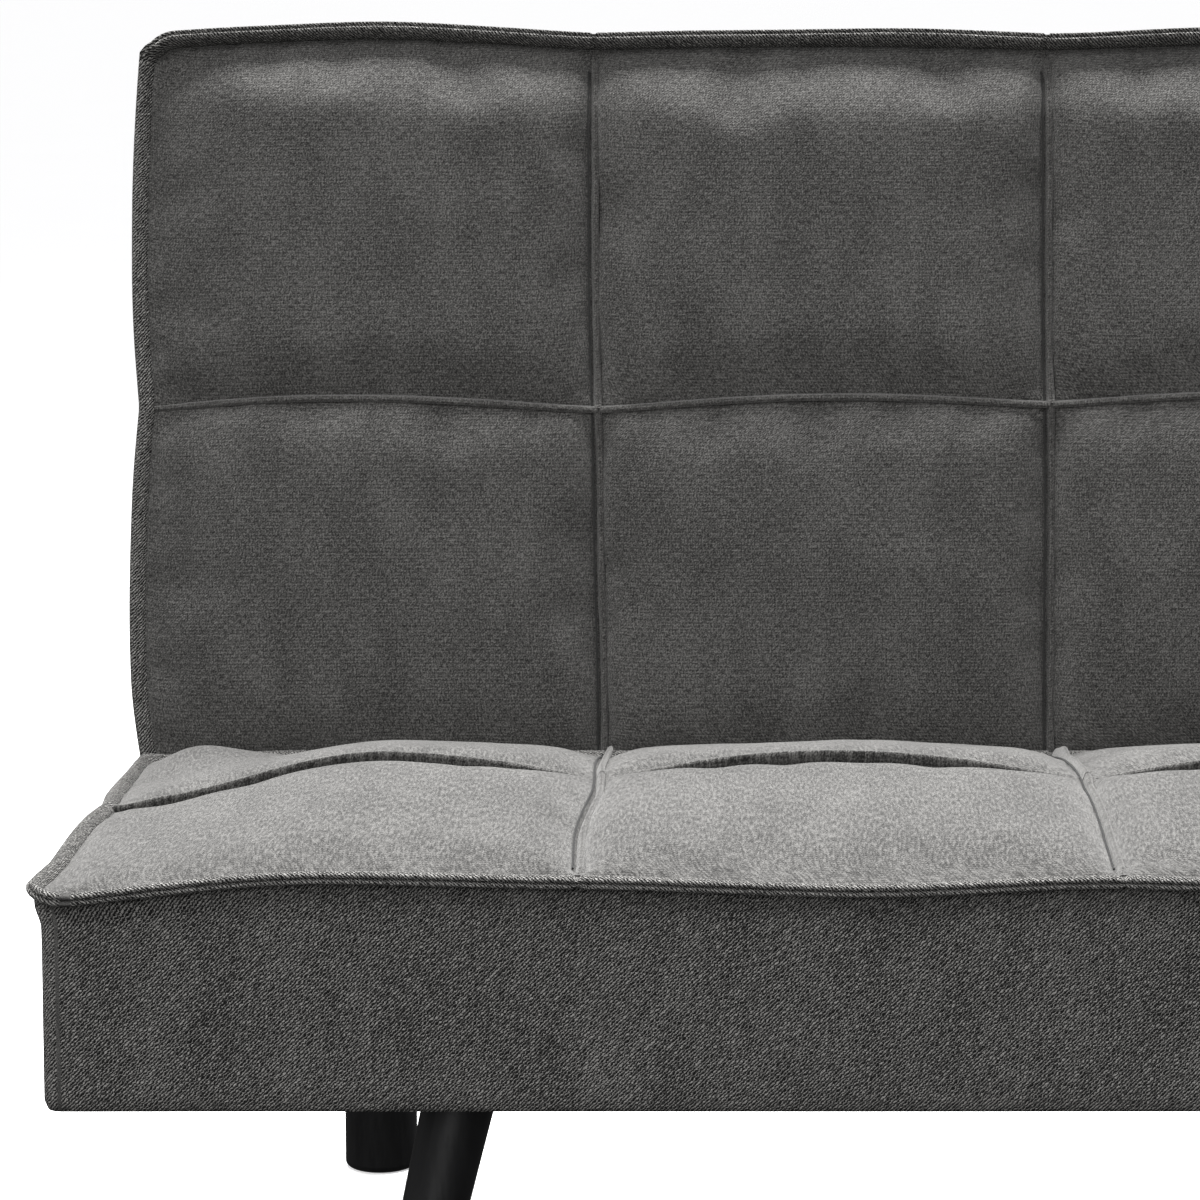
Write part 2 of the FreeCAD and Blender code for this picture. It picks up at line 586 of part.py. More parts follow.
def front_legs():
    """Round tapered legs that splay out sideways and rake forwards, cut level at both ends.

    The screws of their plates are handed back.
    """
    blocks, plates, glides, screws, bolts = [], [], [], [], []
    for side, sign in (("left", -1), ("right", 1)):
        x, y = f"({sign} * ({SIDE} - front_leg_inset))", f"({FRONT} + front_leg_setback)"
        down = Vector(
            sign * math.tan(math.radians(size("front_leg_splay"))),
            -math.tan(math.radians(size("front_leg_rake"))),
            -1,
        )
        over = "leg_plate_size"  # how far the uncut cone runs on beyond both ends of the leg
        slope = f"(front_leg_top_radius - front_leg_foot_radius) / {LEG_TOP}"
        cone = doc.addObject("Part::Cone", "Taper")
        bind(cone, Radius1=f"front_leg_top_radius + {slope} * {over}",
             Radius2=f"front_leg_foot_radius - {slope} * {over}",
             Height=f"({LEG_TOP} + 2 * {over}) * {down.Length}")
        top = Vector(number_of(x), number_of(y), number_of(LEG_TOP))
        turn = FreeCAD.Rotation(Vector(0, 0, 1), down)
        cone.Placement = FreeCAD.Placement(top - down * size(over), turn)
        leg = doc.addObject("Part::Common", "Leg")
        reach = "leg_block_length"
        leg.Base = cone
        leg.Tool = box(f"{x} - {reach}", f"{y} - {reach}", "glide_thickness", f"2 * {reach}",
                       f"2 * {reach}", f"{LEG_TOP} - glide_thickness")
        keep(leg, f"front_leg_{side}")

        foot_x = f"{x} + {sign} * {LEG_TOP} * tan(front_leg_splay)"
        foot_y = f"{y} - {LEG_TOP} * tan(front_leg_rake)"
        glides.append(cylinder(foot_x, foot_y, "0", "front_leg_foot_radius - 1", "glide_thickness"))
        blocks.append(box(f"{x} - leg_block_length / 2", f"{FRONT} + {INSET} + rail_thickness",
                          "frame_bottom", "leg_block_length", "leg_block_width", "leg_block_height"))
        corners = [
            (f"{x} + {i} * leg_screw_offset", f"{y} + {j} * leg_screw_offset")
            for i in (-1, 1) for j in (-1, 1)
        ]
        holed = drilled(leg_plate(x, y), corners, "screw_radius + hole_clearance")
        plates.append(drilled(holed, [(x, y)], "hanger_bolt_radius + hole_clearance"))
        screws += [screw(a, b, LEG_TOP, "z") for a, b in corners]
        bolts.append(cylinder(x, y, f"{LEG_TOP} - hanger_bolt_reach", "hanger_bolt_radius",
                              "2 * hanger_bolt_reach"))
    keep(group(*blocks), "front_leg_blocks")
    keep(group(*plates), "front_leg_plates")
    keep(group(*glides), "front_leg_glides")
    keep(group(*bolts), "front_leg_hanger_bolts")
    return screws


def post(label, radius, top):
    """A round post: a rectangle turned about Z."""
    body = doc.addObject("PartDesign::Body", "Body")
    sketch = rectangle(body, "XZ_Plane", radius, top)
    turning = body.newObject("PartDesign::Revolution", "Turning")
    turning.Profile = sketch
    turning.ReferenceAxis = (origin_part(body, "Z_Axis"), [""])
    doc.recompute()
    body.Label = label
    return body


def rear_leg_axis(side):
    middle = f"({SIDE} - rear_leg_inset)"
    return (middle if side == "right" else f"-{middle}"), f"(-({FRONT}) - rear_leg_radius)"


def rear_legs():
    bolts = []
    for side in ("left", "right"):
        x, y = rear_leg_axis(side)
        leg = post(f"rear_leg_{side}", "rear_leg_radius", "(bar_bottom - foot_plate_thickness)")
        turning = leg.Tip
        rim = [f"Edge{i}" for i, e in enumerate(turning.Shape.Edges, start=1) if is_at_height(e, 0)]
        foot = leg.newObject("PartDesign::Fillet", "Foot")
        foot.Base = (turning, rim)
        foot.setExpression("Radius", cells("rear_leg_round"))
        keep(bind(leg, x=x, y=y), f"rear_leg_{side}")
        bolts.append(fuse(
            cylinder(x, y, "bar_bottom", "bolt_head_radius", "bolt_head_height"),
            cylinder(x, y, "bar_bottom - bolt_length", "bolt_radius", "bolt_length"),
        ))
    keep(group(*bolts), "rear_leg_bolts")


def centre_leg():
    """A plain round post under the middle cross rail. Its plate's screws are handed back."""
    y = f"({FRONT} + centre_leg_setback)"
    keep(bind(post("centre_leg", "centre_leg_radius", LEG_TOP), y=y), "centre_leg")
    spots = [("0", f"{y} + {j} * leg_screw_offset") for j in (-1, 1)]
    keep(drilled(leg_plate("0", y), spots, "screw_radius + hole_clearance"), "centre_leg_plate")
    return [screw(a, b, LEG_TOP, "z") for a, b in spots]


def check_and_write():
    doc.recompute()
    failed = [o.Label for o in doc.Objects if {"Invalid", "Error"} & set(o.State)]
    failed += [o.Label for o in nodes if o.Shape.isNull() or not o.Shape.isValid()]
    if failed:
        raise RuntimeError(f"failed: {failed}")
    os.makedirs("parts", exist_ok=True)
    for node in nodes:
        node.Shape.exportStep(f"parts/{node.Label}.step")
    print(f"{len(nodes)} nodes written")


seat()
back()
hinges()
cross_tube()
rear_legs()
keep(group(*front_legs(), *centre_leg()), "leg_plate_screws")
check_and_write()
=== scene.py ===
"""Looks of the click-clack sofa bed: quilted cushions, sewn flanges, fabric boxes, legs and hinges.

Everything is in metres. The seat and the back are both made lying flat, as the CAD builds them: x across,
y towards the rear, z up. The back's pieces are then folded up about the hinge's pivot.
"""

import json
import math

import bpy
from mathutils import Matrix, Vector, noise


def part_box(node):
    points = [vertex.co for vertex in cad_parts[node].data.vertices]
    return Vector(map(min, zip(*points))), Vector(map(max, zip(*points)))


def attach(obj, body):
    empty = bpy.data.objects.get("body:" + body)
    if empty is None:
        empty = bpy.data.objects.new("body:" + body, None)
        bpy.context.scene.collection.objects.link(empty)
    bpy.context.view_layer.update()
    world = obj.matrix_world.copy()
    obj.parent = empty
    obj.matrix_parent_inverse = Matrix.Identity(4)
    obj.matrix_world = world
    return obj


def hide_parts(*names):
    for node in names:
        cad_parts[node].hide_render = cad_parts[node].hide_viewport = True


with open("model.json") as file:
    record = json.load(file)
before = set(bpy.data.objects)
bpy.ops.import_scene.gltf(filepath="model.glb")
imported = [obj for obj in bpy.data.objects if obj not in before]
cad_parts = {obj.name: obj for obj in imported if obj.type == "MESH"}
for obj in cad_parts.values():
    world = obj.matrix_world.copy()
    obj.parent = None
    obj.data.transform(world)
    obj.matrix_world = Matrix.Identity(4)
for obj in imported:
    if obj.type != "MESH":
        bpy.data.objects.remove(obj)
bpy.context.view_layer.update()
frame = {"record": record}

# ---------------------------------------------------------------- sizes, from the CAD's boxes
SEAT_LOW, SEAT_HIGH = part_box("seat_flange")
SEAT_LENGTH = SEAT_HIGH.y - SEAT_LOW.y
HALF_WIDTH = SEAT_HIGH.x
COVER = 0.009  # the box's side cloth is set in this far from the flange's tip
PIVOT = Vector((0.0, 0.1676, 0.310))
FOLD_ANGLE = math.radians(78)
BACK_NEAR = PIVOT.y - 0.0434
BACK_LENGTH = 0.560
BACK_PLANE = 0.370  # height of the back's flange, with the back laid flat
SEAT_PLANE = 0.3765  # height of the seat's flange at the front
BOX_BOTTOM = 0.245
COLUMNS = 6
COLUMN = 2 * HALF_WIDTH / COLUMNS
HINGE_X = 0.7955
FOLD = (
    Matrix.Translation(PIVOT)
    @ Matrix.Rotation(FOLD_ANGLE, 4, "X")
    @ Matrix.Translation(-PIVOT)
)


# ---------------------------------------------------------------- curves that shape the cloth
def wobble(x, y, z=0.0):
    """Smooth noise between about -1 and 1."""
    return noise.noise(Vector((x, y, z)))


def smooth(t):
    """Eases from 0 at t = 0 to 1 at t = 1, and is level beyond."""
    t = min(max(t, 0.0), 1.0)
    return t * t * (3 - 2 * t)


def hump(share, power=1.0):
    """Half a sine wave: 0 at shares 0 and 1, and 1 halfway. The smaller the power, the broader it is."""
    return max(0.0, math.sin(math.pi * share)) ** power


def bell(across, along=0.0):
    """A round bump of height 1. Each distance is a share of the bump's reach."""
    return math.exp(-(across**2) - along**2)


def rise(distance, reach):
    """A padded edge's profile: 0 on the seam, steep beside it, and 1 from reach on."""
    t = min(max(distance / reach, 0.0), 1.0)
    return (1 - (1 - t) ** 2.2) ** 0.6


# ---------------------------------------------------------------- materials
class Nodes:
    """Short calls that add nodes to one material."""

    def __init__(self, name):
        self.material = bpy.data.materials.new(name)
        self.material.use_nodes = True
        self.tree = self.material.node_tree
        self.shader = self.tree.nodes["Principled BSDF"]

    def add(self, kind, inputs=(), **settings):
        node = self.tree.nodes.new(kind)
        for key, value in settings.items():
            setattr(node, key, value)
        for key, value in dict(inputs).items():
            if isinstance(value, bpy.types.NodeSocket):
                self.tree.links.new(value, node.inputs[key])
            else:
                node.inputs[key].default_value = value
        return node

    def math(self, operation, a, b=0.0, clamp=False):
        node = self.add("ShaderNodeMath", {0: a, 1: b}, operation=operation, use_clamp=clamp)
        return node.outputs[0]

    def noise(self, vector, scale, detail=2.0, rough=0.5):
        settings = {"Vector": vector, "Scale": scale, "Detail": detail, "Roughness": rough}
        return self.add("ShaderNodeTexNoise", settings).outputs["Fac"]

    def stretched(self, vector, x, y, z=1.0):
        return self.add("ShaderNodeMapping", {"Vector": vector, "Scale": (x, y, z)}).outputs[0]

    def ramp(self, factor, stops):
        node = self.add("ShaderNodeValToRGB", {"Fac": factor})
        elements = node.color_ramp.elements
        while len(elements) < len(stops):
            elements.new(0.5)
        for element, (place, colour) in zip(elements, stops):
            element.position = place
            element.color = (*colour, 1.0)
        return node.outputs["Color"]

    def spread(self, value, low, high, to_low, to_high):
        settings = {"Value": value, "From Min": low, "From Max": high, "To Min": to_low, "To Max": to_high}
        return self.add("ShaderNodeMapRange", settings).outputs["Result"]

    def bump(self, height, distance, strength=1.0):
        node = self.add("ShaderNodeBump", {"Height": height, "Distance": distance, "Strength": strength})
        self.tree.links.new(node.outputs["Normal"], self.shader.inputs["Normal"])

    def link(self, socket, name):
        self.tree.links.new(socket, self.shader.inputs[name])

    def set(self, **values):
        for key, value in values.items():
            self.shader.inputs[key.replace("_", " ")].default_value = value


def upholstery(name, colours, twill, slub, mottle, sheen, slub_size=1.0):
    """Woven fabric: diagonal twill ribs, uneven yarns both ways and soft patches of tone.

    twill, slub and mottle say how strongly the ribs, the single yarns and the patches show. The ribs' light
    and dark lines in the base colour are partly the weave's own pattern and partly painted shade of the yarn
    ridges.
    """
    rib_spacing, pick_spacing, unevenness = 0.0023, 0.0022, 0.0030
    n = Nodes(name)
    uv = n.add("ShaderNodeUVMap", uv_map="weave").outputs["UV"]
    split = n.add("ShaderNodeSeparateXYZ", {"Vector": uv})
    u, v = split.outputs["X"], split.outputs["Y"]
    jitter = n.math("MULTIPLY", n.noise(uv, 600.0, 1.0), unevenness)
    diagonal = n.math("ADD", n.math("SUBTRACT", u, v), jitter)
    rib_relief_and_shade = n.math("SINE", n.math("MULTIPLY", diagonal, 2 * math.pi / rib_spacing))
    lengthwise = n.math("ADD", v, n.math("MULTIPLY", jitter, 0.5))
    pick = n.math("SINE", n.math("MULTIPLY", lengthwise, 2 * math.pi / pick_spacing))
    breaks = n.spread(n.noise(uv, 420.0, 1.0), 0.35, 0.65, 0.1, 1.6)
    weft = n.noise(n.stretched(uv, 170.0, 800.0), 1.0, 2.0, 0.6)
    warp = n.noise(n.stretched(uv, 620.0 / slub_size, 150.0 / slub_size**2), 1.0, 2.0, 0.6)
    grain = n.noise(uv, 1100.0, 1.0)
    patch = n.noise(n.stretched(uv, 28.0, 12.0), 1.0, 4.0, 0.65)
    yarn = n.math("ADD", n.math("MULTIPLY", weft, 0.3), n.math("MULTIPLY", warp, 0.7))
    # Rib and weft lines for the base colour: the cloth's pattern plus painted shade of its yarn ridges,
    # which the bump below also shapes
    weave = n.math("ADD", n.math("MULTIPLY", rib_relief_and_shade, twill), n.math("MULTIPLY", pick, 0.12))
    tone = n.math("MULTIPLY", n.math("SUBTRACT", yarn, 0.5), slub)
    tone = n.math("ADD", tone, n.math("MULTIPLY", weave, breaks))
    tone = n.math("ADD", tone, n.math("MULTIPLY", n.math("SUBTRACT", grain, 0.5), slub * 0.6))
    tone = n.math("ADD", tone, n.math("MULTIPLY", n.math("SUBTRACT", patch, 0.5), mottle))
    n.link(n.ramp(n.math("ADD", tone, 0.5, clamp=True), colours), "Base Color")
    n.link(n.spread(patch, 0.3, 0.7, 0.86, 0.97), "Roughness")
    height = n.math("ADD", n.math("MULTIPLY", rib_relief_and_shade, twill * 1.6), n.math("MULTIPLY", yarn, 1.3))
    height = n.math("ADD", height, n.math("MULTIPLY", grain, 0.6))
    n.bump(height, 0.0004, 0.9)
    n.set(Sheen_Weight=sheen, Sheen_Roughness=0.45, Sheen_Tint=(0.92, 0.91, 0.89, 1.0))
    n.set(Specular_IOR_Level=0.12)
    return n.material


def plain_cloth(name, dark, light, scale=900.0):
    """Thin non-woven cloth with a dimpled surface."""
    n = Nodes(name)
    place = n.add("ShaderNodeTexCoord").outputs["Object"]
    cells = n.add("ShaderNodeTexVoronoi", {"Vector": place, "Scale": scale}).outputs["Distance"]
    surface = n.math("ADD", cells, n.noise(place, 400.0, 3.0, 0.7))
    n.link(n.ramp(n.math("MULTIPLY", surface, 0.7), [(0.3, dark), (0.8, light)]), "Base Color")
    n.set(Roughness=0.92, Specular_IOR_Level=0.2, Sheen_Weight=0.1)
    n.bump(surface, 0.0003, 0.7)
    return n.material


def satin_black(name):
    """Satin black moulding with a faint orange-peel and fine scuffs."""
    n = Nodes(name)
    place = n.add("ShaderNodeTexCoord").outputs["Object"]
    peel = n.noise(place, 320.0, 2.0)
    scuff = n.noise(n.stretched(place, 60.0, 60.0, 8.0), 4.0, 4.0, 0.7)
    n.link(n.ramp(scuff, [(0.3, (0.0065, 0.0065, 0.007)), (0.75, (0.013, 0.013, 0.0135))]), "Base Color")
    n.link(n.spread(scuff, 0.3, 0.75, 0.30, 0.42), "Roughness")
    n.set(Specular_IOR_Level=0.5)
    n.bump(peel, 0.00012, 0.35)
    return n.material


def powder_coat(name):
    n = Nodes(name)
    place = n.add("ShaderNodeTexCoord").outputs["Object"]
    pits = n.noise(place, 900.0, 3.0, 0.7)
    wear = n.noise(place, 14.0, 5.0, 0.7)
    n.link(n.ramp(wear, [(0.35, (0.012, 0.012, 0.013)), (0.8, (0.035, 0.035, 0.036))]), "Base Color")
    n.link(n.spread(wear, 0.3, 0.8, 0.42, 0.6), "Roughness")
    n.set(Metallic=0.25)
    n.bump(pits, 0.00015, 0.6)
    return n.material


def zinc(name, colour):
    n = Nodes(name)
    place = n.add("ShaderNodeTexCoord").outputs["Object"]
    spangle = n.add("ShaderNodeTexVoronoi", {"Vector": place, "Scale": 260.0}).outputs["Color"]
    grey = n.add("ShaderNodeSeparateColor", {"Color": spangle}).outputs["Red"]
    brushed = n.noise(n.stretched(place, 1400.0, 90.0, 90.0), 1.0, 3.0)
    dim = tuple(c * 0.72 for c in colour)
    n.link(n.ramp(grey, [(0.1, dim), (0.9, colour)]), "Base Color")
    n.link(n.spread(brushed, 0.3, 0.7, 0.25, 0.48), "Roughness")
    n.set(Metallic=1.0)
    n.bump(brushed, 0.00006, 0.5)
    return n.material


def timber(name):
    """Sawn softwood: long grain along x with rings, pores and a few darker streaks."""
    n = Nodes(name)
    place = n.add("ShaderNodeTexCoord").outputs["Object"]
    bent = n.add("ShaderNodeVectorMath", {0: n.stretched(place, 1.2, 16.0, 16.0)}, operation="ADD")
    warp = n.add("ShaderNodeTexNoise", {"Vector": n.stretched(place, 2.0, 9.0, 9.0), "Scale": 1.0})
    n.tree.links.new(warp.outputs["Color"], bent.inputs[1])
    wave = {"Vector": bent.outputs[0], "Scale": 1.1, "Distortion": 5.0, "Detail": 2.0}
    rings = n.add("ShaderNodeTexWave", wave)
    pores = n.noise(n.stretched(place, 60.0, 900.0, 900.0), 1.0, 3.0, 0.6)
    tone = n.math("ADD", n.math("MULTIPLY", rings.outputs["Fac"], 0.6), n.math("MULTIPLY", pores, 0.4))
    stops = [(0.15, (0.36, 0.22, 0.10)), (0.55, (0.55, 0.37, 0.19)), (0.9, (0.66, 0.48, 0.28))]
    n.link(n.ramp(tone, stops), "Base Color")
    n.set(Roughness=0.72)
    n.bump(pores, 0.0003, 0.5)
    return n.material


def foam(name, colour):
    n = Nodes(name)
    place = n.add("ShaderNodeTexCoord").outputs["Object"]
    cells = n.add("ShaderNodeTexVoronoi", {"Vector": place, "Scale": 700.0}).outputs["Distance"]
    dark = tuple(c * 0.6 for c in colour)
    n.link(n.ramp(cells, [(0.0, dark), (0.6, colour)]), "Base Color")
    n.set(Roughness=0.95)
    n.bump(cells, 0.0006, 0.8)
    return n.material


GREYS = [(0.0, (0.014, 0.0137, 0.0131)), (0.5, (0.062, 0.0605, 0.058)), (1.0, (0.150, 0.147, 0.141))]
DEEP_GREYS = [(0.0, (0.008, 0.0078, 0.0075)), (0.5, (0.088, 0.086, 0.082)), (1.0, (0.330, 0.323, 0.309))]
QUILT = upholstery("quilt_fabric", GREYS, twill=0.10, slub=3.2, mottle=0.75, sheen=0.42)
BACK_QUILT = upholstery(
    "back_quilt_fabric", GREYS, twill=0.10, slub=2.5, mottle=0.6, sheen=0.42, slub_size=0.7,
)
# Strong rib lines in this fabric's colour: partly its twill pattern, partly painted shade of the yarn ridges
TWILL = upholstery("box_twill", DEEP_GREYS, twill=1.7, slub=1.6, mottle=1.5, sheen=0.15)
DUST = plain_cloth("dust_cloth", (0.010, 0.010, 0.010), (0.035, 0.035, 0.035))
LEG = satin_black("leg_black")
STEEL = powder_coat("black_powder_coat")
ZINC = zinc("zinc_plate", (0.62, 0.62, 0.60))
WIRE = zinc("spring_wire_steel", (0.32, 0.31, 0.30))
WOOD = timber("sawn_softwood")
FELT = foam("grey_felt", (0.32, 0.31, 0.30))
# Near-black colour for the painted shadow lines laid in the tucks' folds
FOLD_SHADOW = plain_cloth("painted_fold_shadow", (0.008, 0.008, 0.008), (0.030, 0.030, 0.029), 1500.0)
RUBBER = plain_cloth("glide_rubber", (0.012, 0.012, 0.012), (0.03, 0.03, 0.03), 300.0)


# ---------------------------------------------------------------- mesh making
def make(name, points, faces, uvs, material, body, folded=False):
    """Adds a smooth-shaded piece. uvs holds one (u, v) in metres for each point."""
    mesh = bpy.data.meshes.new(name)
    mesh.from_pydata([tuple(p) for p in points], [], faces)
    if folded:
        mesh.transform(FOLD)
    layer = mesh.uv_layers.new(name="weave")
    for loop in mesh.loops:
        layer.data[loop.index].uv = uvs[loop.vertex_index]
    mesh.polygons.foreach_set("use_smooth", [True] * len(mesh.polygons))
    mesh.materials.append(material)
    mesh.validate()
    piece = bpy.data.objects.new(name, mesh)
    bpy.context.collection.objects.link(piece)
    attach(piece, body)
    return piece


def grid_faces(rows, columns, skip=None):
    """Quads of a grid with rows x columns points, less the ones that skip picks by row and column."""
    faces = []
    for i in range(rows - 1):
        for j in range(columns - 1):
            if skip and skip(i, j):
                continue
            here, beyond = i * columns + j, (i + 1) * columns + j
            faces.append((here, here + 1, beyond + 1, beyond))
    return faces


def eased_steps(stops, count, ease=0.65):
    """Places from stop to stop, count to a gap, closer together near every stop."""
    places = [stops[0]]
    for a, b in zip(stops, stops[1:]):
        for k in range(1, count + 1):
            t = k / count
            eased = (1 - math.cos(math.pi * t)) / 2
            places.append(a + (b - a) * (ease * eased + (1 - ease) * t))
    return places


# ---------------------------------------------------------------- the two slabs' shapes
class Cushion:
    """One quilted slab: where its seams run, and how high its fabric stands over the flange plane.

    Each slab sets:
    inset, corner: how far the cushion's edge lies within the flange's tip, and the radius of its corners
    level, swell: how high a crossing of seams is held, and how much higher a cross seam rides between two
    puff, rear_reach: how far each row stands over its seams, and how far from its rear seam it is full
    bows: how far each cross seam bows to the rear between two crossings
    crossings: how far each lengthwise seam's crossings lie off their line
    slack, cap: how much too large the simulated cloth is, and how far the simulation may carry a point
    """

    def __init__(self, near, length, seams):
        self.near, self.far = near + self.inset, near + length - self.inset
        self.rows = [self.near, *seams, self.far]
        self.half = HALF_WIDTH - self.inset
        self.columns = [-self.half, *[i * COLUMN for i in (-2, -1, 0, 1, 2)], self.half]

    def depth(self, y):
        """How far y lies from the near edge to the far one, from 0 to 1."""
        return (y - self.near) / (self.far - self.near)

    def column_at(self, x):
        """The column that x is in, and how far across the column it lies, from 0 to 1."""
        place = (x + HALF_WIDTH) / COLUMN
        column = min(max(int(place), 0), COLUMNS - 1)
        return column, place - column

    def row_at(self, y):
        """The row of panels that y is in."""
        return next((row for row, end in enumerate(self.rows[1:]) if y <= end), len(self.rows) - 2)

    def corner_pull(self, x, y):
        """How far the round corners draw a point of the plain rectangle inwards, in x and in y."""
        near_side, far_side = 1 - (y - self.near) / self.corner, 1 - (self.far - y) / self.corner
        beside_x = min(1.0, max(0.0, 1 - (self.half - abs(x)) / self.corner))
        beside_y = min(1.0, max(0.0, near_side, far_side))
        pull_x = beside_x * (1 - math.sqrt(1 - beside_y**2 / 2)) * self.corner
        pull_y = beside_y * (1 - math.sqrt(1 - beside_x**2 / 2)) * self.corner
        return -math.copysign(pull_x, x), pull_y if near_side > 0 else -pull_y

    def place(self, x, y):
        """Moves a point of the plain grid to where the bowed seams and edges carry it."""
        edge_reach, wander_reach = 0.16, 0.10
        inward = self.half - abs(x)
        column, share = self.column_at(x)
        first, second = self.crossings[column], self.crossings[column + 1]
        across, along = self.corner_pull(x, y)
        for k, seam in enumerate(self.rows[1:-1]):
            before, after = self.rows[k], self.rows[k + 2]
            reach = (y - before) / (seam - before) if y < seam else (after - y) / (after - seam)
            bow = self.bows[k] * hump(share, 1.2) + 0.0012 * wobble(x * 4, seam * 9, self.seed)
            along += (bow + first + (second - first) * smooth(share)) * smooth(reach)
        sideways, endways = self.edge_bow(x, y)
        along += endways * smooth(1 - (self.far - y) / edge_reach)
        across += sideways * smooth(1 - inward / edge_reach) * math.copysign(1, x)
        beside_first_seam = max(0.0, 1 - abs(x + 2 * COLUMN) / COLUMN)
        across += self.seam_drift(y) * smooth(beside_first_seam)
        across += 0.0018 * wobble(x * 3, y * 7, self.seed + 5) * smooth(inward / wander_reach)
        return Vector((x + across, y + along, 0.0))

    def groove(self, x, y):
        """The narrow valley along a lengthwise seam. It fades out at the edges and at the crossings."""
        seam = min(abs(x - inner) for inner in self.columns[1:-1])
        crossing = min(abs(y - cross) for cross in self.rows[1:-1])
        depth = 0.0055 * bell(seam / 0.0045) * smooth((self.half - abs(x)) / 0.03)
        depth *= smooth((y - self.near) / 0.02) * smooth((self.far - y) / 0.02)
        return depth * smooth(crossing / 0.03)

    def height(self, x, y):
        """Height over the flange plane of the fabric at a point of the plain grid."""
        side_reach, near_reach = 0.055, 0.050
        middles = [(a + b) / 2 for a, b in zip(self.columns, self.columns[1:])]
        column = min(range(COLUMNS), key=lambda c: abs(middles[c] - x))  # the one whose middle is nearest
        row = self.row_at(y)
        left, right = self.columns[column], self.columns[column + 1]
        near, far = self.rows[row], self.rows[row + 1]
        arch, side = self.support(self.half - abs(x), y)
        held = (self.level + self.swell * hump((x - left) / (right - left), 0.9)) * arch * side
        across = rise(x - left, side_reach) * rise(right - x, side_reach)
        along = rise(y - near, near_reach) * rise(far - y, self.rear_reach[row])
        puff = self.puff[row] * (1 + 0.15 * wobble(column * 3.7, row * 5.1, self.seed))
        uneven = 0.0018 * wobble(x * 11, y * 11, self.seed + 9) + 0.0007 * wobble(x * 37, y * 37, self.seed)
        groove = 0.0 if row == self.plain_row else self.groove(x, y)
        return held + (puff + uneven) * across * along + self.corner_lift(x, y) - groove

    def point(self, x, y, over=0.0):
        """Where the fabric, or a place a little over it, is in space."""
        where = self.place(x, y)
        where.z = self.plane(x, y) + self.height(x, y) + over
        return where


class SeatCushion(Cushion):
    """The seat: it slopes to the rear, and its rear row meets the back."""

    prefix, body, folded, seed, cloth = "seat", "base", False, 1, QUILT
    inset, corner = COVER + 0.0025, 0.020
    bottom = BOX_BOTTOM - 0.0035
    level, swell = 0.0165, 0.0085
    puff, rear_reach = (0.0048, 0.0060), (0.075, 0.085)
    bows = (0.0065,)
    crossings = (0.0, 0.001, -0.002, 0.001, 0.002, -0.001, 0.0)
    front_dips = (-0.0022, 0.0048, 0.0034, 0.0040, 0.0045, -0.0010)  # of the front edge, one for each column
    plain_row = 1  # the row of panels without grooves
    slack, cap = 0.006, 0.0025
    box_pull = 0.5  # share of the edge's bow that the box cloth's top follows
    side_lean = 0.75  # how far the flange along the sides stands up from level, in radians

    def plane(self, x, y):
        """Height of the flange. It falls to the rear and dips mid-column and at its front corners."""
        column, share = self.column_at(x)
        depth = self.depth(y)
        front = 1 - smooth(depth / 0.4)
        dip = self.front_dips[column] * hump(share, 1.5) + 0.0125 * smooth((abs(x) - 0.74) / 0.17)
        fall = 0.018 * smooth(depth) + 0.003 * smooth((depth - 0.72) / 0.28)
        side = 0.003 * smooth((abs(x) - self.half + 0.10) / 0.10)
        return SEAT_PLANE - fall - front * dip - (1 - front) * side

    def edge_bow(self, x, y):
        """How far the slab's outline is pushed out sideways and endways at a point on it."""
        behind = y - self.near
        sideways = 0.0090 - 0.0055 * smooth(behind / 0.07) - 0.0055 * smooth(behind / 0.20)
        for seam in self.rows[1:-1]:
            sideways -= 0.003 * bell((y - seam) / 0.035)
        share = self.column_at(x)[1]
        return sideways, -0.002 + 0.003 * hump(share, 1.2)

    def seam_drift(self, y):
        """How far the first seam from the left strays to the right."""
        return 0.009 * smooth((self.depth(y) - 0.15) / 0.35)

    def support(self, inward, y):
        """How fully the seams are held up, by the distances from the ends and from the side."""
        return hump(self.depth(y), 1.2), smooth(inward / 0.17)

    def corner_lift(self, x, y):
        """The fabric bunches up at the rear corners, with a dent beside the bunch."""
        inward, before_rear = self.half - abs(x), self.far - y
        bunch = 0.009 * bell((inward - 0.034) / 0.026, (before_rear - 0.045) / 0.040)
        return bunch - 0.006 * bell((inward - 0.090) / 0.035, (before_rear - 0.060) / 0.045)

    def cross_tuck(self, swing):
        """A cross tuck's lean to the front and its height. Both grow away from the crossings."""
        return 0.15 + 0.40 * swing, 0.12 + 1.80 * swing

    def tuck_loop(self, y):
        """How much taller a lengthwise tuck stands where it meets the back."""
        return 0.7 * bell((self.far - y - 0.05) / 0.03)

    def flange_shape(self, sideways, at_far_end):
        """The flange's lean up from level and its reach, by how far it faces sideways."""
        return self.side_lean * sideways**2, 1.22 - 0.27 * sideways


